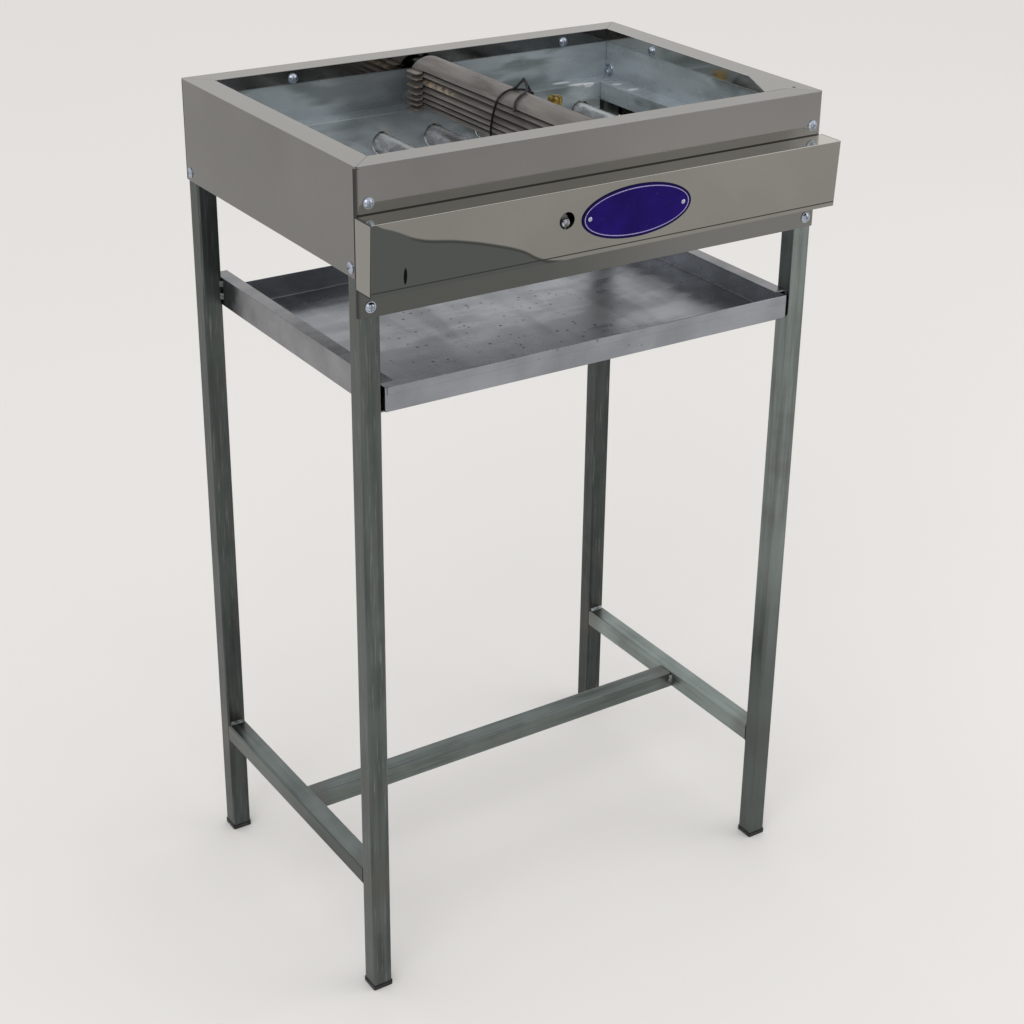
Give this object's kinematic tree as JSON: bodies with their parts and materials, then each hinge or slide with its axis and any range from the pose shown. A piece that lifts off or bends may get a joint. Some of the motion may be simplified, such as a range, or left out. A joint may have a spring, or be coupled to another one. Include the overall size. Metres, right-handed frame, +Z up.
{
  "type": "standing gas kebab grill",
  "caption": "Free-standing gas grill: folded steel casing over parallel burner tubes, front cover with a tap hole, square-tube stand, sliding drip tray and a tied stack of burner hats.",
  "frame": {"origin": "on the floor, under the middle of the bounding box", "axes": "+Z up, +X to the right, the control cover faces -Y"},
  "size_m": [0.5108, 0.3764, 0.8602],
  "materials": {
    "galvanised_tube": "galvanised, dull",
    "black_plastic": "matt",
    "stainless_sheet": "bright rolled stainless sheet",
    "galvanised_sheet": "galvanised, satin",
    "burner_steel": "bright drawn tube with light heat tint",
    "brass": "turned",
    "zinc_fasteners": "bright zinc",
    "blue_enamel": "gloss",
    "raw_steel": "raw hot-rolled sheet",
    "black_wire": "annealed"
  },
  "bodies": {
    "stand": {"leg_front_left": "galvanised_tube", "leg_front_right": "galvanised_tube", "leg_rear_left": "galvanised_tube", "leg_rear_right": "galvanised_tube", "lower_rail_left": "galvanised_tube", "lower_rail_right": "galvanised_tube", "centre_stretcher": "galvanised_tube", "tray_guide_left": "galvanised_tube", "tray_guide_right": "galvanised_tube", "weld_beads": "galvanised_tube", "foot_cap_front_left": "black_plastic", "foot_cap_front_right": "black_plastic", "foot_cap_rear_left": "black_plastic", "foot_cap_rear_right": "black_plastic", "left_panel": "stainless_sheet", "right_panel": "stainless_sheet", "front_panel": "stainless_sheet", "rear_panel": "stainless_sheet", "control_cover": "stainless_sheet", "liner_left": "galvanised_sheet", "liner_right": "galvanised_sheet", "liner_front": "galvanised_sheet", "liner_rear": "galvanised_sheet", "burner_tube_1": "burner_steel", "burner_tube_2": "burner_steel", "burner_tube_3": "burner_steel", "burner_tube_4": "burner_steel", "burner_tube_5": "burner_steel", "burner_tube_6": "burner_steel", "burner_tube_7": "burner_steel", "gas_rail": "burner_steel", "gas_rail_plugs": "burner_steel", "injectors": "brass", "gas_valve_body": "brass", "hose_nozzle": "brass", "brass_fitting": "brass", "side_screws": "zinc_fasteners", "front_screws": "zinc_fasteners", "rear_screws": "zinc_fasteners", "lip_screws": "zinc_fasteners", "liner_rivets": "zinc_fasteners", "cover_rivets": "zinc_fasteners", "nameplate_rivets": "zinc_fasteners", "nameplate": "blue_enamel"},
    "drip_tray": {"drip_tray": "galvanised_sheet"},
    "valve_spindle": {"valve_spindle": "zinc_fasteners"},
    "hat_bundle": {"burner_hat_1": "raw_steel", "burner_hat_2": "raw_steel", "burner_hat_3": "raw_steel", "burner_hat_4": "raw_steel", "burner_hat_5": "raw_steel", "burner_hat_6": "raw_steel", "burner_hat_7": "raw_steel", "tie_wire": "black_wire"}
  },
  "joints": [
    {"name": "tray_slide", "type": "slide", "parent": "stand", "child": "drip_tray", "axis": [0, -1, 0], "range_m": [0, 0.32]},
    {"name": "bundle_lift", "type": "slide", "parent": "stand", "child": "hat_bundle", "axis": [0, 0, 1], "range_m": [0, 0.09]},
    {"name": "tap_turn", "type": "hinge", "parent": "stand", "child": "valve_spindle", "pos_m": [-0.0588, -0.1797, 0.7775], "axis": [0, -1, 0], "range_deg": [0, 90]}
  ]
}
